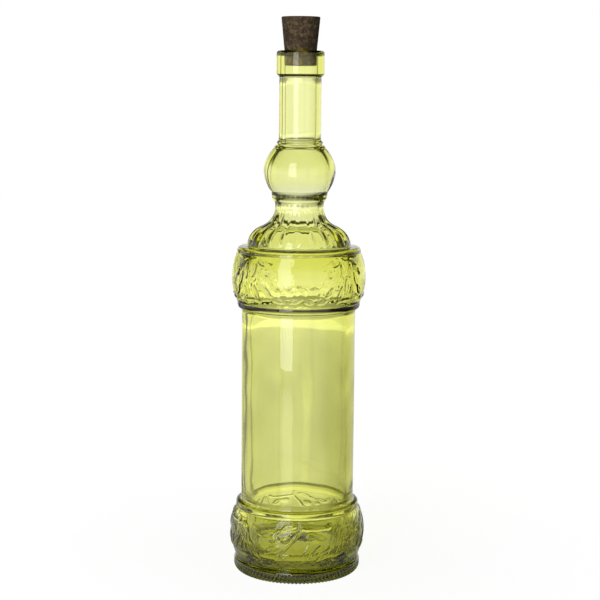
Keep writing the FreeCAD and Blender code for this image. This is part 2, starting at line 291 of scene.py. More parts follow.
@dataclass(frozen=True)
class PressedCork:
    """Agglomerated cork: brown grains of bark, glued and cut, dry and matt.

    The grains differ in shade, dark glue shows between them, and small pits catch shadow.
    """

    name: str = "agglomerated_cork"
    dark: str = "#3C3124"
    middle: str = "#574734"
    pale: str = "#77644C"
    glue: str = "#281F16"
    shade_stops: tuple[float, float, float] = (0.42, 0.72, 1.0)
    grain_mm: float = 1.9
    grain_share: float = 0.55
    seam_share: float = 0.09
    seam_strength: float = 0.75
    fleck_mm: float = 0.6
    relief_mm: float = 0.12
    relief_strength: float = 0.8
    roughness: float = 0.88
    gloss: float = 0.3

    def build(self) -> bpy.types.Material:
        """Makes the material.

        Returns:
            The cork, its grains coloured one by one.
        """
        material, tree, output = new_material(self.name)
        where = add_node(tree, "ShaderNodeTexCoord")
        bend = add_node(
            tree,
            "ShaderNodeTexNoise",
            {"Scale": 1 / (self.grain_mm * MM), "Detail": 2.0},
            {"Vector": where.outputs["Object"]},
        )
        shift = add_node(
            tree,
            "ShaderNodeVectorMath",
            {"operation": "SCALE", "Scale": self.grain_mm * MM},
            {0: bend.outputs["Color"]},
        )
        bent = add_node(
            tree,
            "ShaderNodeVectorMath",
            {"operation": "ADD"},
            {0: where.outputs["Object"], 1: shift.outputs[0]},
        )
        cells = add_node(
            tree,
            "ShaderNodeTexVoronoi",
            {"Scale": 1 / (self.grain_mm * MM), "Randomness": 1.0},
            {"Vector": bent.outputs[0]},
        )
        seams = add_node(
            tree,
            "ShaderNodeTexVoronoi",
            {"feature": "DISTANCE_TO_EDGE", "Scale": 1 / (self.grain_mm * MM)},
            {"Vector": bent.outputs[0]},
        )
        flecks = add_node(
            tree,
            "ShaderNodeTexNoise",
            {"Scale": 1 / (self.fleck_mm * MM), "Detail": 4.0, "Roughness": 0.7},
            {"Vector": where.outputs["Object"]},
        )
        pick = add_node(tree, "ShaderNodeSeparateColor", {}, {0: cells.outputs["Color"]})
        shade = add_node(
            tree,
            "ShaderNodeMath",
            {"operation": "MULTIPLY_ADD", 1: self.grain_share},
            {0: pick.outputs[0], 2: flecks.outputs["Fac"]},
        )
        browns = [linear(brown) for brown in (self.dark, self.middle, self.pale)]
        grain = grade(tree, shade.outputs[0], list(zip(self.shade_stops, browns)))
        distance = seams.outputs["Distance"]
        seam = remap(tree, distance, (0.0, self.seam_share), (self.seam_strength, 0.0))
        colour = add_node(
            tree,
            "ShaderNodeMix",
            {"data_type": "RGBA", 7: linear(self.glue)},
            {0: seam, 6: grain},
        )
        bump = add_node(
            tree,
            "ShaderNodeBump",
            {"Strength": self.relief_strength, "Distance": self.relief_mm * MM},
            {"Height": shade.outputs[0]},
        )
        cork = add_node(
            tree,
            "ShaderNodeBsdfPrincipled",
            {"Roughness": self.roughness, "Specular IOR Level": self.gloss},
            {"Base Color": colour.outputs[2], "Normal": bump.outputs["Normal"]},
        )
        tree.links.new(cork.outputs[0], output.inputs["Surface"])
        return material


# ---------------------------------------------------------------- turned shapes


class Outline:
    """A half-section of something turned, drawn from point to point beside the axis, in mm."""

    def __init__(self, radius: float, height: float) -> None:
        """Starts the outline at one point."""
        self.points = [Vector((radius, 0.0, height))]

    def line(self, radius: float, height: float, pieces: int = 1) -> "Outline":
        """Draws a straight stretch.

        Args:
            radius: The end's distance from the axis.
            height: The end's height.
            pieces: How many equal pieces the stretch is cut into.

        Returns:
            This outline.
        """
        return self.arc(radius, height, 0.0, pieces)

    def arc(self, radius: float, height: float, bulge: float, pieces: int) -> "Outline":
        """Draws a smooth stretch that stands off its chord by the bulge at its middle.

        Args:
            radius: The end's distance from the axis.
            height: The end's height.
            bulge: How far it stands off, to the right of its path; negative to the left.
            pieces: How many pieces the stretch is cut into.

        Returns:
            This outline.
        """
        start = self.points[-1]
        end = Vector((radius, 0.0, height))
        chord = end - start
        aside = Vector((chord.z, 0.0, -chord.x)).normalized()
        for index in range(1, pieces + 1):
            share = index / pieces
            off = 4 * share * (1 - share) * bulge
            self.points.append(start + chord * share + aside * off)
        return self


Ring = list[bmesh.types.BMEdge]
Shift = Callable[[float, float, float], float]


def turn(
    mesh: bmesh.types.BMesh, points: Sequence[Vector], steps: int, shift: Shift | None = None
) -> tuple[Ring, Ring]:
    """Spins an outline once round the Z axis and adds the surface to a mesh.

    Args:
        mesh: The mesh that the surface joins.
        points: The outline, in millimetres, in the XZ plane.
        steps: How many steps make the full turn.
        shift: Moves each point outwards, in mm, by its bearing, height and radius.

    Returns:
        The edges of the first ring and of the last ring.
    """
    lathe = bmesh.new()
    start = [lathe.verts.new(point * MM) for point in points]
    wire = [lathe.edges.new(pair) for pair in zip(start, start[1:])]
    bmesh.ops.spin(
        lathe,
        geom=start + wire,
        cent=(0, 0, 0),
        axis=(0, 0, 1),
        angle=math.tau,
        steps=steps,
        use_merge=True,
    )
    lathe.verts.index_update()
    rings = [ring_at(lathe, point * MM) for point in (points[0], points[-1])]
    if shift is not None:
        for vert in lathe.verts:
            move_out(vert, shift)
    data = bpy.data.meshes.new("turned")
    lathe.to_mesh(data)
    lathe.free()
    joined = len(mesh.verts)
    mesh.from_mesh(data)
    bpy.data.meshes.remove(data)
    mesh.verts.ensure_lookup_table()
    first, last = ({mesh.verts[joined + index] for index in ring} for ring in rings)
    return ring_edges(first), ring_edges(last)


def ring_at(mesh: bmesh.types.BMesh, point: Vector) -> list[int]:
    """Finds the ring that a point of the outline was spun into.

    Args:
        mesh: The turned surface.
        point: The outline's point, in metres.

    Returns:
        The numbers of the ring's vertices.
    """
    return [
        vert.index
        for vert in mesh.verts
        if abs(vert.co.z - point.z) < SAME_RING and abs(vert.co.xy.length - point.x) < SAME_RING
    ]


def ring_edges(ring: set[bmesh.types.BMVert]) -> Ring:
    """The edges that join two vertices of a ring."""
    edges = {edge for vert in ring for edge in vert.link_edges}
    return [edge for edge in edges if edge.verts[0] in ring and edge.verts[1] in ring]


def move_out(vert: bmesh.types.BMVert, shift: Shift) -> None:
    """Moves a point of a turned surface away from the axis by what shift says.

    Args:
        vert: The point.
        shift: Gives the distance in mm, from the bearing, the height and the radius.
    """
    radius = math.hypot(vert.co.x, vert.co.y)
    if radius < ON_THE_AXIS:
        return
    bearing = math.atan2(vert.co.x, -vert.co.y)
    off = shift(bearing, vert.co.z / MM, radius / MM) * MM
    vert.co.x *= 1 + off / radius
    vert.co.y *= 1 + off / radius


@dataclass(frozen=True)
class Swell:
    """The slow unevenness of pressed glass, in mm: how far apart its swells are, how deep."""

    size: float
    depth: float

    def at(self, bearing: float, height: float, radius: float) -> float:
        """How far out the surface stands at a point, in mm.

        Args:
            bearing: Where round the axis, in radians.
            height: Height, in mm.
            radius: Distance from the axis, in mm.

        Returns:
            The distance, less than nought where it stands inwards.
        """
        return noise.noise(place_at(bearing, height, radius) / self.size) * self.depth


def place_at(bearing: float, height: float, radius: float) -> Vector:
    """The point at a bearing, a height and a distance from the axis."""
    return Vector((math.sin(bearing) * radius, -math.cos(bearing) * radius, height))


def held(share: float) -> float:
    """A share, held between nought and one."""
    return max(0.0, min(1.0, share))


def finish_piece(
    mesh: bmesh.types.BMesh, name: str, material: bpy.types.Material, smooth: bool = True
) -> bpy.types.Object:
    """Makes an object of a mesh, at the origin.

    Args:
        mesh: The finished mesh, which is used up.
        name: The piece's name.
        material: Its finish.
        smooth: Whether its faces are shaded smooth.

    Returns:
        The new object.
    """
    bmesh.ops.remove_doubles(mesh, verts=mesh.verts, dist=SAME_POINT)
    bmesh.ops.recalc_face_normals(mesh, faces=mesh.faces)
    for face in mesh.faces:
        face.smooth = smooth
    open_edges = sum(not edge.is_manifold for edge in mesh.edges)
    data = bpy.data.meshes.new(name)
    mesh.to_mesh(data)
    mesh.free()
    data.materials.append(material)
    piece = bpy.data.objects.new(name, data)
    bpy.context.scene.collection.objects.link(piece)
    triangles = sum(len(polygon.vertices) - 2 for polygon in data.polygons)
    LOG.info("%s: %d triangles, %d open edges", name, triangles, open_edges)
    return piece


# ---------------------------------------------------------------- raised ornament


class Motif(Enum):
    """What one raised mark on a band is."""

    LEAF = "leaf"
    OLIVE = "olive"
    TWIG = "twig"


@dataclass(frozen=True)
class Mark:
    """One raised mark, by where its middle is and how it lies, on the unrolled band.

    A leaf has a raised rim a little inside its edge and a rib along its middle, in mm.
    """

    RIM_INSET: ClassVar[float] = 0.55
    RIM_WIDTH: ClassVar[float] = 0.45
    RIB_WIDTH: ClassVar[float] = 0.4
    RIB_SHARE: ClassVar[float] = 0.6
    BLADE_SHARE: ClassVar[float] = 0.3

    motif: Motif
    bearing: float
    height: float
    lean: float
    length: float
    width: float
    bow: float = 0.0

    def rise(self, along: float, across: float) -> float:
        """How high the mark stands at a point.

        Args:
            along: Distance from its middle along its length, in mm.
            across: Distance from its middle across it, in mm.

        Returns:
            A share of the full relief, from nought to about one.
        """
        half = self.length / 2
        share = along / half
        if abs(share) >= 1:
            return 0.0
        off = across - self.bow * (1 - share * share)
        if self.motif is Motif.OLIVE:
            inside = 1 - share * share - (2 * off / self.width) ** 2
            return math.sqrt(inside) if inside > 0 else 0.0
        if self.motif is Motif.TWIG:
            inside = 1 - (2 * off / self.width) ** 2
            return math.sqrt(inside) if inside > 0 else 0.0
        reach = self.width / 2 * (1 - share * share)
        depth = reach - abs(off)
        if depth <= 0:
            return 0.0
        rim = math.exp(-(((depth - self.RIM_INSET) / self.RIM_WIDTH) ** 2))
        rib = self.RIB_SHARE * math.exp(-((off / self.RIB_WIDTH) ** 2))
        return min(1.0, depth / self.RIB_WIDTH) * max(self.BLADE_SHARE, rim, rib)


@dataclass(frozen=True)
class Ornament:
    """Marks that repeat round a band."""

    marks: tuple[Mark, ...]
    repeats: int
    relief: float
    radius: float

    def height_at(self, bearing: float, height: float) -> float:
        """How far the relief stands off the band.

        Args:
            bearing: Where round the axis, in radians.
            height: Height, in mm.

        Returns:
            The relief, in mm.
        """
        period = math.tau / self.repeats
        best = 0.0
        for mark in self.marks:
            turned = bearing - math.radians(mark.bearing)
            turned -= period * round(turned / period)
            beside = turned * self.radius
            above = height - mark.height
            reach = mark.length / 2 + abs(mark.bow)
            if abs(beside) > reach or abs(above) > reach:
                continue
            lean = math.radians(mark.lean)
            along = above * math.cos(lean) + beside * math.sin(lean)
            across = beside * math.cos(lean) - above * math.sin(lean)
            best = max(best, mark.rise(along, across))
        return best * self.relief


# ---------------------------------------------------------------- the bottle


@dataclass
class GlassBottle:
    """The bottle: one closed skin of glass, outside and inside. Sizes are in millimetres."""

    foot_radius: float = 37.4
    foot_height: float = 7.8
    punt_depth: float = 5.0
    bearing_radius: float = 33.5
    knurls: int = 96
    knurl_depth: float = 1.5
    knurl_top: float = 5.4
    knurl_inside: float = 31.5
    knurl_fade: float = 2.5
    band_end: float = 36.5
    band_crown: float = 39.5
    flange: float = 36.2
    body_radius: float = 33.2
    upper_flange: float = 35.8
    bell_radius: float = 30.2
    ribs: int = 22
    rib_depth: float = 1.3
    rib_turn: float = 6.0
    rib_narrowing: float = 2.5
    rib_ends: Span = (193.5, 215.0)
    rib_fades: Span = (6.0, 13.0)
    waist_radius: float = 14.3
    neck_radius: float = 12.2
    collar_radius: float = 13.8
    mouth_radius: float = 9.5
    bore_radius: float = 8.9
    wall: float = 4.6
    underside_swell: Swell = Swell(3.0, 0.5)
    band_swell: Swell = Swell(1.5, 0.05)
    body_swell: Swell = Swell(22.0, 0.08)
    inner_swell: Swell = Swell(14.0, 0.35)
    inner_swell_top: float = 290.0
    inner_swell_fade: float = 40.0
    sprig_repeats: int = 4
    sprig_relief: float = 0.6
    fine_steps: int = 480
    coarse_steps: int = 120
    finish: PressedGlass = field(default_factory=PressedGlass)

    def lower_ornament(self) -> Ornament:
        """The sprigs of the lower band."""
        leaf, olive, twig = Motif.LEAF, Motif.OLIVE, Motif.TWIG
        marks = (
            Mark(twig, -6.5, 25.5, 41.0, 25.0, 1.5, 0.8),
            Mark(twig, 4.0, 36.0, 0.0, 4.4, 1.6),
            Mark(leaf, -7.0, 33.2, 74.0, 12.0, 3.2, -1.4),
            Mark(olive, -9.5, 27.6, 70.0, 5.6, 3.8),
            Mark(olive, -20.5, 27.2, 70.0, 4.6, 3.4),
            Mark(leaf, -16.0, 30.6, 58.0, 11.0, 3.0, -0.8),
            Mark(leaf, -27.0, 30.5, 78.0, 11.0, 3.4, 0.8),
            Mark(leaf, -21.0, 20.5, 62.0, 12.0, 3.6, -1.0),
            Mark(leaf, -12.0, 16.5, 70.0, 10.0, 3.0, -0.6),
            Mark(twig, 15.0, 33.6, 92.0, 17.0, 1.2, 0.5),
            Mark(olive, 12.5, 29.6, 85.0, 5.6, 3.8),
            Mark(leaf, 20.5, 29.0, 110.0, 9.0, 3.0, 0.5),
            Mark(leaf, 8.0, 20.5, 20.0, 12.0, 3.6, 0.8),
            Mark(leaf, 15.5, 20.0, 38.0, 12.0, 3.6, 0.8),
            Mark(leaf, 23.0, 18.5, 50.0, 12.0, 3.6, 0.8),
            Mark(leaf, 31.5, 27.5, 22.0, 17.0, 3.4, 0.8),
            Mark(leaf, 36.5, 26.5, 10.0, 21.0, 3.2, 0.6),
            Mark(leaf, 41.0, 25.5, 0.0, 19.0, 3.2, -0.4),
            Mark(leaf, 46.0, 24.0, -14.0, 18.0, 3.4, -0.8),
            Mark(leaf, 52.0, 20.0, -36.0, 14.0, 3.6, -0.8),
            Mark(leaf, 53.5, 31.5, -52.0, 10.0, 3.0, -0.5),
            Mark(olive, 29.0, 34.0, 60.0, 4.4, 3.2),
        )
        return Ornament(marks, self.sprig_repeats, self.sprig_relief, self.band_crown)

    def upper_ornament(self) -> Ornament:
        """The sparser sprigs of the upper band."""
        leaf, olive, twig = Motif.LEAF, Motif.OLIVE, Motif.TWIG
        marks = (
            Mark(leaf, 27.0, 170.0, 38.0, 9.0, 3.0, 0.4),
            Mark(leaf, 32.0, 176.5, 22.0, 12.0, 3.2, 0.6),
            Mark(leaf, 37.0, 168.0, 12.0, 12.0, 3.4, 0.6),
            Mark(leaf, 40.0, 181.5, -6.0, 11.0, 3.0),
            Mark(leaf, 44.5, 173.0, 0.0, 14.0, 3.6),
            Mark(leaf, 49.0, 182.0, 14.0, 10.0, 3.0),
            Mark(leaf, 52.0, 168.5, -14.0, 12.0, 3.4, -0.6),
            Mark(leaf, 57.0, 176.5, -26.0, 12.0, 3.2, -0.6),
            Mark(leaf, 62.5, 170.5, -38.0, 9.0, 3.0, -0.4),
            Mark(leaf, 35.0, 186.0, 62.0, 8.0, 2.4),
            Mark(leaf, 55.0, 186.5, -60.0, 8.0, 2.4),
            Mark(olive, 27.5, 180.0, 20.0, 4.4, 3.2),
            Mark(olive, 62.0, 181.0, -20.0, 4.4, 3.2),
            Mark(twig, 45.0, 164.5, 88.0, 14.0, 1.2, -0.5),
            Mark(leaf, 21.0, 164.8, 72.0, 8.0, 2.6, 0.4),
            Mark(leaf, 9.0, 164.6, 100.0, 7.0, 2.2, 0.3),
            Mark(leaf, -3.0, 165.2, 76.0, 8.0, 2.4, 0.3),
            Mark(leaf, -17.0, 164.6, 98.0, 9.0, 2.6, -0.3),
        )
        return Ornament(marks, self.sprig_repeats, self.sprig_relief, self.band_crown)

    def outside(self, mesh: bmesh.types.BMesh) -> tuple[Ring, Ring]:
        """Builds the outer skin, in stretches that are as fine as their detail needs.

        Args:
            mesh: The mesh that it joins.

        Returns:
            The ring in the middle of the punt and the ring at the lip.
        """
        lower, upper = self.lower_ornament(), self.upper_ornament()

        def knurl(bearing: float, height: float, radius: float) -> float:
            """The notches of the foot's edge, deepest where it meets the table."""
            wide = held((radius - self.knurl_inside) / self.knurl_fade)
            near = max(0.0, 1 - height / self.knurl_top) * wide
            wave = 0.5 - 0.5 * math.cos(bearing * self.knurls)
            return -self.knurl_depth * near * wave

        def low_band(bearing: float, height: float, radius: float) -> float:
            """The lower band's sprigs, on a skin with a fine grain."""
            grain = self.band_swell.at(bearing, height, radius)
            return lower.height_at(bearing, height) + grain

        def high_band(bearing: float, height: float, radius: float) -> float:
            """The upper band's sprigs, on a skin with a fine grain."""
            grain = self.band_swell.at(bearing, height, radius)
            return upper.height_at(bearing, height) + grain

        def ribs(bearing: float, height: float, radius: float) -> float:
            """The shoulder's ribs, round-backed with narrow valleys, fading at both ends."""
            low = (height - self.rib_ends[0]) / self.rib_fades[0]
            high = (self.rib_ends[1] - height) / self.rib_fades[1]
            near = max(0.0, min(1.0, low, high))
            turned = bearing - math.radians(self.rib_turn)
            valley = 1 - abs(math.cos(turned * self.ribs / 2))
            return -self.rib_depth * near * valley**self.rib_narrowing

        punt = Outline(0.0, self.punt_depth)
        punt.arc(self.bearing_radius - 4.0, 0.5, 1.0, 20)
        foot = Outline(self.bearing_radius - 3.4, 0.12)
        foot.line(self.bearing_radius - 2.4, 0.0)
        foot.line(self.bearing_radius, 0.0, 2)
        foot.line(self.bearing_radius + 1.6, 0.15)
        foot.arc(self.foot_radius, 3.2, 0.5, 4)
        foot.line(self.foot_radius, self.foot_height - 1.6, 2)
        foot.arc(self.foot_radius - 1.4, self.foot_height, 0.35, 3)
        foot.line(self.foot_radius - 2.2, self.foot_height + 0.2)
        foot.line(self.foot_radius - 2.2, self.foot_height + 0.8)
        band = Outline(self.band_end - 0.6, 8.7)
        band.line(self.band_end, 9.2)
        band.arc(self.band_end, 37.8, self.band_crown - self.band_end, 54)
        ledge = Outline(self.flange + 0.1, 38.0)
        ledge.line(self.flange, 38.4)
        ledge.line(self.flange, 40.9, 2)
        ledge.arc(self.flange - 1.1, 42.0, 0.35, 4)
        ledge.line(self.body_radius + 0.9, 42.1, 2)
        ledge.arc(self.body_radius, 43.2, -0.3, 3)
        trunk = Outline(self.body_radius, 44.0)
        trunk.line(self.body_radius, 154.4, 24)
        brow = Outline(self.body_radius, 155.9)
        brow.arc(self.body_radius + 0.5, 156.5, -0.15, 3)
        brow.arc(self.upper_flange, 159.8, 0.8, 8)
        brow.line(self.upper_flange, 160.6, 2)
        crown = Outline(self.upper_flange + 0.2, 161.0)
        crown.arc(self.band_end - 0.2, 189.5, 3.0, 52)
        rim = Outline(self.flange - 0.1, 189.8)
        rim.line(self.flange, 190.3)
        rim.arc(self.flange - 2.6, 192.8, 0.85, 8)
        rim.line(self.bell_radius + 1.2, 193.0, 3)
        bell = Outline(self.bell_radius + 0.5, 193.2)
        bell.arc(self.bell_radius, 194.4, -0.3, 2)
        bell.arc(22.4, 204.4, 1.7, 12)
        bell.arc(self.waist_radius, 213.5, -1.7, 12)
        bell.line(self.waist_radius, 217.0, 3)
        top = Outline(self.waist_radius, 218.0)
        top.arc(15.5, 220.0, -0.3, 3)
        top.line(16.0, 221.0, 1)
        top.line(16.4, 224.2, 2)
        top.arc(14.8, 250.0, 5.2, 22)
        top.arc(14.2, 251.2, 0.2, 2)
        top.line(13.2, 251.6)
        top.line(12.9, 252.2)
        top.arc(13.4, 253.2, 0.2, 2)
        top.arc(self.neck_radius, 255.2, -0.3, 3)
        top.line(self.neck_radius, 288.6, 6)
        top.arc(self.collar_radius - 0.6, 291.2, -0.5, 4)
        top.arc(self.collar_radius, 292.6, 0.25, 3)
        top.line(self.collar_radius, 302.8, 3)
        top.arc(self.collar_radius - 2.0, 305.2, 0.9, 5)
        top.line(self.mouth_radius + 1.0, 305.2)
        stretches = [
            (punt, self.coarse_steps, self.underside_swell.at),
            (foot, self.fine_steps * 2, knurl),
            (band, self.fine_steps, low_band),
            (ledge, self.coarse_steps * 2, None),
            (trunk, self.coarse_steps, self.body_swell.at),
            (brow, self.coarse_steps * 2, None),
            (crown, self.fine_steps, high_band),
            (rim, self.coarse_steps * 2, None),
            (bell, self.coarse_steps * 2, ribs),
            (top, self.coarse_steps, None),
        ]
        return self.join(mesh, stretches)

    def inside(self, mesh: bmesh.types.BMesh) -> tuple[Ring, Ring]:
        """Builds the inner skin, from the middle of the floor to the lip.

        Args:
            mesh: The mesh that it joins.

        Returns:
            The ring in the middle of the floor and the ring at the lip.
        """

        def uneven(bearing: float, height: float, radius: float) -> float:
            """The inside is less regular than the outside, and runs true near the mouth."""
            fade = held((self.inner_swell_top - height) / self.inner_swell_fade)
            return fade * self.inner_swell.at(bearing, height, radius)

        inner = self.body_radius - self.wall
        floor = Outline(0.0, 15.0)
        floor.arc(inner - 9.0, 13.0, -0.3, 6)
        floor.arc(inner + 2.5, 21.0, 3.0, 8)
        floor.arc(inner - 1.4, 41.3, 3.0, 10)
        floor.line(inner - 0.4, 43.6)
        floor.line(inner, 50.0, 4)
        floor.line(inner, 147.0, 16)
        floor.line(inner - 0.8, 155.5, 4)
        floor.arc(27.4, 190.0, 5.8, 14)
        floor.arc(20.2, 201.0, 0.9, 6)
        floor.arc(11.0, 211.5, -0.9, 6)
        floor.line(11.0, 219.0, 2)
        floor.arc(self.bore_radius, 250.5, 7.2, 18)
        floor.line(self.bore_radius, 288.5, 8)
        floor.arc(self.mouth_radius, 294.5, 0.3, 4)
        floor.line(self.mouth_radius, 304.4, 3)
        floor.arc(self.mouth_radius + 0.7, 305.15, 0.2, 3)
        return turn(mesh, floor.points, self.coarse_steps, uneven)

    @staticmethod
    def join(
        mesh: bmesh.types.BMesh, stretches: Sequence[tuple[Outline, int, Shift | None]]
    ) -> tuple[Ring, Ring]:
        """Turns stretches one after the other and bridges each to the one before.

        Args:
            mesh: The mesh that they join.
            stretches: An outline, a number of steps and a shift, for each.

        Returns:
            The first ring and the last ring.
        """
        first: Ring = []
        last: Ring = []
        for outline, steps, shift in stretches:
            low, high = turn(mesh, outline.points, steps, shift)
            if last:
                bmesh.ops.bridge_loops(mesh, edges=last + low)
            else:
                first = low
            last = high
        return first, last

    def build(self) -> bpy.types.Object:
        """Builds and dresses the bottle.

        Returns:
            The glass piece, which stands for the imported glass.
        """
        mesh = bmesh.new()
        _, outer_lip = self.outside(mesh)
        _, inner_lip = self.inside(mesh)
        bmesh.ops.bridge_loops(mesh, edges=outer_lip + inner_lip)
        piece = finish_piece(mesh, "oil_bottle_glass", self.finish.build())
        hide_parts("glass_bottle")
        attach(piece, "root")
        return piece


# ---------------------------------------------------------------- the cork


@dataclass
class CorkStopper:
    """The stopper: straight in the mouth, widening above it. Sizes are in millimetres."""

    taper_from: float = 9.4
    clearance: float = 0.05
    top_clearance: float = 0.08
    edge: float = 0.5
    steps: int = 180
    grain_size: float = 1.5
    grain_depth: float = 0.05
    pit_size: float = 2.2
    pit_depth: float = 0.66
    pit_level: float = 0.25
    finish: PressedCork = field(default_factory=PressedCork)

    def build(self) -> bpy.types.Object:
        """Builds and dresses the cork.

        Returns:
            The cork piece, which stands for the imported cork.
        """
        low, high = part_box("cork_stopper")
        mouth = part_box("glass_bottle")[1].z / MM
        bottom, top, wide = low.z / MM, high.z / MM, high.x / MM
        gripped = self.taper_from - self.clearance
        side = Outline(0.0, bottom)
        side.line(gripped - self.edge, bottom, 12)
        side.arc(gripped, bottom + self.edge, 0.15, 3)
        side.line(gripped, mouth, 14)
        side.line(wide - self.top_clearance, top - self.edge, 40)
        side.arc(wide - self.edge, top, 0.15, 3)
        side.line(0.0, top, 16)
        elsewhere = Vector((7.0, 3.0, 1.0))

        def pits(bearing: float, height: float, radius: float) -> float:
            """Small pits and sunken grains in the side, only ever cut inwards."""
            if radius <= gripped * 0.9:
                return 0.0
            point = place_at(bearing, height, radius)
            grain = noise.noise(point / self.grain_size)
            pit = max(0.0, noise.noise(point / self.pit_size + elsewhere) - self.pit_level)
            return -(self.grain_depth * (1 - grain) + self.pit_depth * pit)

        mesh = bmesh.new()
        turn(mesh, side.points, self.steps, pits)
        piece = finish_piece(mesh, "cork_stopper_grains", self.finish.build())
        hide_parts("cork_stopper")
        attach(piece, "root")
        return piece


# ---------------------------------------------------------------- floor, light and camera


@dataclass
class Studio:
    """A plain pale table whose glow holds painted light and shadow, a white surround with two dark
    flags, and one large soft lamp.

    Lights are shares of white. Reaches are distances from the bottle's middle, in metres.
    """

    table_radius: float = 3.0
    table_colour: str = "#202020"
    table_gloss: float = 0.12
    # Middle of the painted shadow in the table's glow, just off the axis towards the back right.
    painted_shadow_middle: tuple[float, float, float] = (0.001, 0.002, 0.0)
    # Painted shadow: the table's glow to the eye dims near the bottle.
    painted_shadow_reach: Span = (0.05, 0.3)
    painted_shadow_light: Span = (0.93, 1.0)
    shade_reach: float = 1.5
    # Painted light and shade: the glow that the glass sees, by distance, dark in a ring round the
    # foot.
    painted_glow_by_reach: tuple[tuple[float, float], ...] = (
        (0.028, 0.56),
        (0.033, 0.30),
        (0.039, 0.30),
        (0.045, 0.60),
        (0.075, 0.54),
        (0.120, 0.74),
        (0.236, 0.64),
        (0.350, 0.53),
        (0.540, 0.44),
        (1.300, 0.38),
        (1.450, 0.80),
    )
    # Painted shade: the glow dims to the right.
    right_reach: Span = (0.0, 0.06)
    right_light: Span = (1.0, 0.72)
    # Painted shade: the glow dims where a ray meets the table steeply.
    steep_reach: Span = (0.07, 0.11)
    steep_light: Span = (0.85, 0.06)
    steep_facing: Span = (0.52, 0.66)
    flag_reach: Span = (0.08, 0.14)
    flags: tuple[tuple[float, float], ...] = (
        (0.18, 1.0),
        (0.20, 0.15),
        (0.25, 0.15),
        (0.27, 1.0),
        (0.89, 1.0),
        (0.95, 0.25),
    )
    ceiling: tuple[tuple[float, float], ...] = ((0.18, 1.0), (0.32, 0.03))
    surround: float = 1.0
    ambient: float = 0.35
    lamp_distance: float = 0.62
    lamp_bearing: float = -23.0
    lamp_width: float = 0.27
    lamp_height: float = 0.64
    lamp_lift: float = 0.332
    lamp_power: float = 2.2

    def table(self) -> bpy.types.Object:
        """Makes the table: white to the eye, and to the glass a dark satin with a painted, graded
        glow.
        """
        material, tree, output = new_material("white_table_with_painted_glow")
        ray = add_node(tree, "ShaderNodeLightPath")
        where = add_node(tree, "ShaderNodeTexCoord")
        middle = add_node(
            tree,
            "ShaderNodeVectorMath",
            {"operation": "SUBTRACT", 1: self.painted_shadow_middle},
            {0: where.outputs["Object"]},
        )
        length = add_node(
            tree, "ShaderNodeVectorMath", {"operation": "LENGTH"}, {0: middle.outputs[0]}
        )
        axes = add_node(tree, "ShaderNodeSeparateXYZ", {}, {0: where.outputs["Object"]})
        away, aside = length.outputs["Value"], axes.outputs["X"]
        # Both looks of the table carry painted shadow; the glass's look also painted light.
        seen = self.table_to_the_eye(tree, away)
        satin = self.table_to_the_glass(tree, away, aside)
        mix = add_node(
            tree,
            "ShaderNodeMixShader",
            {},
            {0: ray.outputs["Is Camera Ray"], 1: satin.outputs[0], 2: seen.outputs[0]},
        )
        tree.links.new(mix.outputs[0], output.inputs["Surface"])
        material.cycles.emission_sampling = "NONE"
        mesh = bmesh.new()
        bmesh.ops.create_circle(mesh, cap_ends=True, segments=96, radius=self.table_radius)
        piece = finish_piece(mesh, "table", material, smooth=False)
        return piece

    def table_to_the_eye(
        self, tree: bpy.types.NodeTree, away: bpy.types.NodeSocket
    ) -> bpy.types.Node:
        """White whose glow dims a little at the bottle's foot, a painted shadow, and which keeps
        the bottle's cast shadow.

        Args:
            tree: The table's nodes.
            away: Gives the distance from the bottle.

        Returns:
            The shader.
        """
        # Painted shadow: the glow is a little dimmer near the bottle's foot.
        white = remap(tree, away, self.painted_shadow_reach, self.painted_shadow_light)
        matt = add_node(tree, "ShaderNodeBsdfDiffuse", {"Color": linear("#808080")})
        glow = add_node(
            tree, "ShaderNodeEmission", {"Color": linear("#FFFFFF")}, {"Strength": white}
        )
        return add_node(tree, "ShaderNodeAddShader", {}, {0: matt.outputs[0], 1: glow.outputs[0]})

    def table_to_the_glass(
        self, tree: bpy.types.NodeTree, away: bpy.types.NodeSocket, aside: bpy.types.NodeSocket
    ) -> bpy.types.Node:
        """What the glass shows of the table: dark satin with a painted glow that is less than
        white.

        The glow is painted light and shade. It is graded by distance, with a painted shadow round
        the bottle's foot, dims to the right and behind the two flags, and dims where a ray meets
        the table steeply, so the glass keeps dark lines against a pale table.

        Args:
            tree: The table's nodes.
            away: Gives the distance from the bottle.
            aside: Gives the distance to the right of it.

        Returns:
            The shader.
        """
        # The emission built here is painted light and shade, not light from a lamp.
        reach = add_node(
            tree, "ShaderNodeMath", {"operation": "DIVIDE", 1: self.shade_reach}, {0: away}
        )
        stops = [(place / self.shade_reach, grey(light)) for place, light in self.painted_glow_by_reach]
        shade = grade(tree, reach.outputs[0], stops)
        # Painted shade to the right and behind the flags.
        right = remap(tree, aside, self.right_reach, self.right_light)
        turned = add_node(tree, "ShaderNodeMath", {"operation": "DIVIDE"}, {0: aside, 1: away})
        beyond = remap(tree, away, self.flag_reach, (0.0, 1.0))
        flagged = add_node(
            tree,
            "ShaderNodeMapRange",
            {"To Min": 1.0},
            {"Value": beyond, "To Max": self.light_past_flags(tree, turned.outputs[0])},
        )
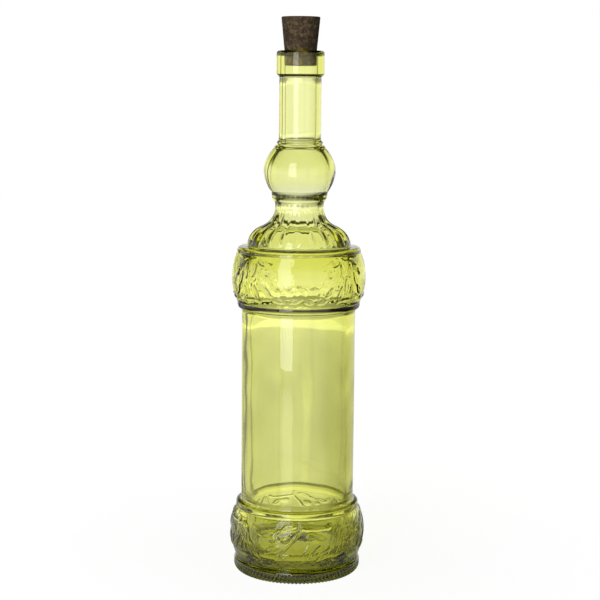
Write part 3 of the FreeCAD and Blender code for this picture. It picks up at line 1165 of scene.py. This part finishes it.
        # Painted shade where a ray meets the table steeply.
        facing = add_node(tree, "ShaderNodeLayerWeight", {"Blend": 0.5})
        least = remap(tree, away, self.steep_reach, self.steep_light)
        steep = add_node(
            tree,
            "ShaderNodeMapRange",
            dict(zip(("From Min", "From Max", "To Max"), self.steep_facing + (1.0,))),
            {"Value": facing.outputs["Facing"], "To Min": least},
        )
        level = product(tree, product(tree, right, flagged.outputs[0]), steep.outputs[0])
        return add_node(
            tree,
            "ShaderNodeBsdfPrincipled",
            {"Base Color": linear(self.table_colour), "Roughness": self.table_gloss},
            {"Emission Color": shade, "Emission Strength": level},
        )

    def light_past_flags(
        self, tree: bpy.types.NodeTree, aside: bpy.types.NodeSocket
    ) -> bpy.types.NodeSocket:
        """The light that two dark flags leave, one on each side, which draws the glass's edges.
        On the table's glow it is painted shade.

        Args:
            tree: The nodes that they join.
            aside: Gives how far to the side a direction points, from -1 to 1.

        Returns:
            The socket that gives the light left, from 0 to 1.
        """
        place = add_node(
            tree,
            "ShaderNodeMath",
            {"operation": "MULTIPLY_ADD", 1: 0.5, 2: 0.5},
            {0: aside},
        )
        stops = [(where, grey(light)) for where, light in self.flags]
        return grade(tree, place.outputs[0], stops)

    def surround_light(self) -> None:
        """Makes the surround: white to the eye; to the glass, dark overhead and at the flags."""
        world = bpy.data.worlds.new("surround")
        bpy.context.scene.world = world
        world.use_nodes = True
        tree = world.node_tree
        tree.nodes.clear()
        output = tree.nodes.new("ShaderNodeOutputWorld")
        where = add_node(tree, "ShaderNodeTexCoord")
        axes = add_node(tree, "ShaderNodeSeparateXYZ", {}, {0: where.outputs["Generated"]})
        stops = [(height, grey(light)) for height, light in self.ceiling]
        belt = grade(tree, axes.outputs["Z"], stops)
        past = self.light_past_flags(tree, axes.outputs["X"])
        ray = add_node(tree, "ShaderNodeLightPath")
        sharp = add_node(
            tree,
            "ShaderNodeMath",
            {"operation": "MAXIMUM"},
            {0: ray.outputs["Is Glossy Ray"], 1: ray.outputs["Is Transmission Ray"]},
        )
        strength = remap(tree, sharp.outputs[0], (0.0, 1.0), (self.ambient, self.surround))
        around = add_node(
            tree,
            "ShaderNodeBackground",
            {},
            {"Color": belt, "Strength": product(tree, strength, past)},
        )
        white = add_node(
            tree, "ShaderNodeBackground", {"Color": linear("#FFFFFF"), "Strength": 1.0}
        )
        mix = add_node(
            tree,
            "ShaderNodeMixShader",
            {},
            {0: ray.outputs["Is Camera Ray"], 1: around.outputs[0], 2: white.outputs[0]},
        )
        tree.links.new(mix.outputs[0], output.inputs["Surface"])

    def lamp(self) -> bpy.types.Object:
        """Makes the large soft lamp at the front left, which the glass mirrors as a stripe."""
        data = bpy.data.lights.new("soft_lamp", "AREA")
        data.shape = "RECTANGLE"
        data.size = self.lamp_width
        data.size_y = self.lamp_height
        data.energy = self.lamp_power
        lamp = bpy.data.objects.new("soft_lamp", data)
        bearing = math.radians(self.lamp_bearing)
        place = Vector((math.sin(bearing), -math.cos(bearing), 0)) * self.lamp_distance
        lamp.location = place + Vector((0, 0, self.lamp_lift))
        lamp.rotation_euler = Euler((math.radians(90), 0, bearing), "XYZ")
        lamp.visible_camera = False
        lamp.visible_transmission = False
        bpy.context.scene.collection.objects.link(lamp)
        return lamp

    def build(self) -> None:
        """Builds the whole studio."""
        self.table()
        self.surround_light()
        self.lamp()


@dataclass
class Camera:
    """A long lens a little above the bottle's shoulder, looking slightly down."""

    distance: float = 0.870
    height: float = 0.2833
    aside: float = 0.0008
    pitch: float = 8.0
    roll: float = 0.48
    lens: float = 90.0

    def build(self) -> bpy.types.Object:
        """Makes the camera and makes it the scene's own."""
        data = bpy.data.cameras.new("camera")
        data.lens = self.lens
        data.sensor_width = 36.0
        data.clip_start = 0.01
        data.clip_end = 50.0
        camera = bpy.data.objects.new("camera", data)
        tilt = Matrix.Rotation(math.radians(90 - self.pitch), 4, "X")
        rolled = Matrix.Rotation(math.radians(self.roll), 4, "Z")
        place = Matrix.Translation((self.aside, -self.distance, self.height))
        camera.matrix_world = place @ tilt @ rolled
        bpy.context.scene.collection.objects.link(camera)
        bpy.context.scene.camera = camera
        return camera


def main() -> None:
    """Builds the bottle, its cork, the studio and the camera."""
    logging.basicConfig(level=logging.INFO)
    GlassBottle().build()
    CorkStopper().build()
    Studio().build()
    Camera().build()
    scene = bpy.context.scene
    scene.view_settings.view_transform = "Standard"
    scene.cycles.max_bounces = 20
    scene.cycles.transmission_bounces = 20
    scene.cycles.glossy_bounces = 8


if __name__ == "__main__":
    main()
